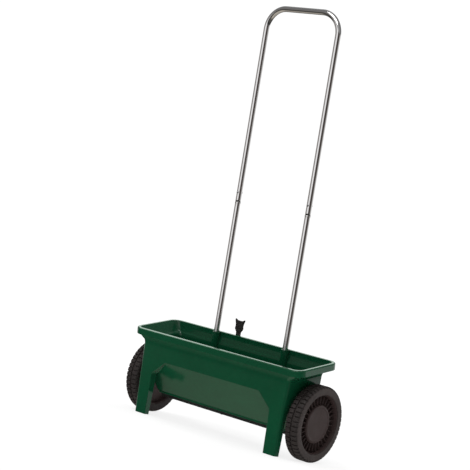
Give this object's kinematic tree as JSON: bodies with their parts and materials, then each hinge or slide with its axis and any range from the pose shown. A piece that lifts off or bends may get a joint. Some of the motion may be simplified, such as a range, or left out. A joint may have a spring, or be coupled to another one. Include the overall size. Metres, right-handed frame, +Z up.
{
  "type": "garden spreader",
  "caption": "Walk-behind drop spreader: a moulded trough hopper on wheels and legs, with a tube handle, an axle agitator and a lever-worked slotted shutter.",
  "frame": {"origin": "on the ground, under the middle of the overall box", "axes": "+Z up, +X along the axle towards the driven wheel, +Y to the rear, where the operator walks"},
  "size_m": [0.592, 0.2268, 1.1561],
  "materials": {
    "hopper_green": "dark green injection-moulded polypropylene, satin gloss",
    "tube_chrome": "bright chromed thin-wall steel tube",
    "tyre_black": "matt brown-black moulded tread",
    "wheel_black": "matt brown-black moulded plastic",
    "lever_black": "black moulded nylon",
    "rail_black": "black moulded plastic",
    "agitator_grey": "dark grey moulded nylon",
    "bush_white": "natural nylon",
    "zinc_steel": "bright zinc-plated steel"
  },
  "bodies": {
    "root": {"hopper": "hopper_green", "axle_bush_left": "bush_white", "axle_bush_right": "bush_white", "lower_tube_left": "tube_chrome", "lower_tube_right": "tube_chrome", "upper_handle": "tube_chrome", "joint_bolt_left": "zinc_steel", "joint_bolt_right": "zinc_steel", "joint_nut_left": "zinc_steel", "joint_nut_right": "zinc_steel", "tube_screw_left": "zinc_steel", "tube_screw_right": "zinc_steel", "shutter_rail_front": "rail_black", "shutter_rail_rear": "rail_black", "rail_screw_front_1": "zinc_steel", "rail_screw_front_2": "zinc_steel", "rail_screw_front_3": "zinc_steel", "rail_screw_rear_1": "zinc_steel", "rail_screw_rear_2": "zinc_steel", "rail_screw_rear_3": "zinc_steel", "lever_pivot_screw": "zinc_steel", "lever_washer": "zinc_steel"},
    "drive_axle": {"axle": "zinc_steel", "agitator": "agitator_grey", "wheel_rim_right": "wheel_black", "tyre_right": "tyre_black", "hub_cap_right": "wheel_black", "thrust_washer_right": "zinc_steel", "drive_pin": "zinc_steel", "retaining_clip": "zinc_steel"},
    "left_wheel": {"wheel_rim_left": "wheel_black", "tyre_left": "tyre_black", "hub_cap_left": "wheel_black", "thrust_washer_left": "zinc_steel"},
    "lever": {"lever": "lever_black"},
    "shutter": {"shutter": "rail_black"}
  },
  "joints": [
    {"name": "axle_spin", "type": "hinge", "parent": "root", "child": "drive_axle", "pos_m": [0, 0.0134, 0.1], "axis": [1, 0, 0], "continuous": true},
    {"name": "left_wheel_spin", "type": "hinge", "parent": "root", "child": "left_wheel", "pos_m": [0, 0.0134, 0.1], "axis": [1, 0, 0], "continuous": true},
    {"name": "lever_swing", "type": "hinge", "parent": "root", "child": "lever", "pos_m": [-0.06, 0.06401, 0.20215], "axis": [0, 0.994, 0.1098], "range_deg": [0, 8.1]},
    {"name": "shutter_slide", "type": "slide", "parent": "root", "child": "shutter", "axis": [1, 0, 0], "range_m": [-0.016, 0]}
  ],
  "couplings": [
    {"joint": "shutter_slide", "follows": "lever_swing", "m_per_rad": -0.113}
  ]
}
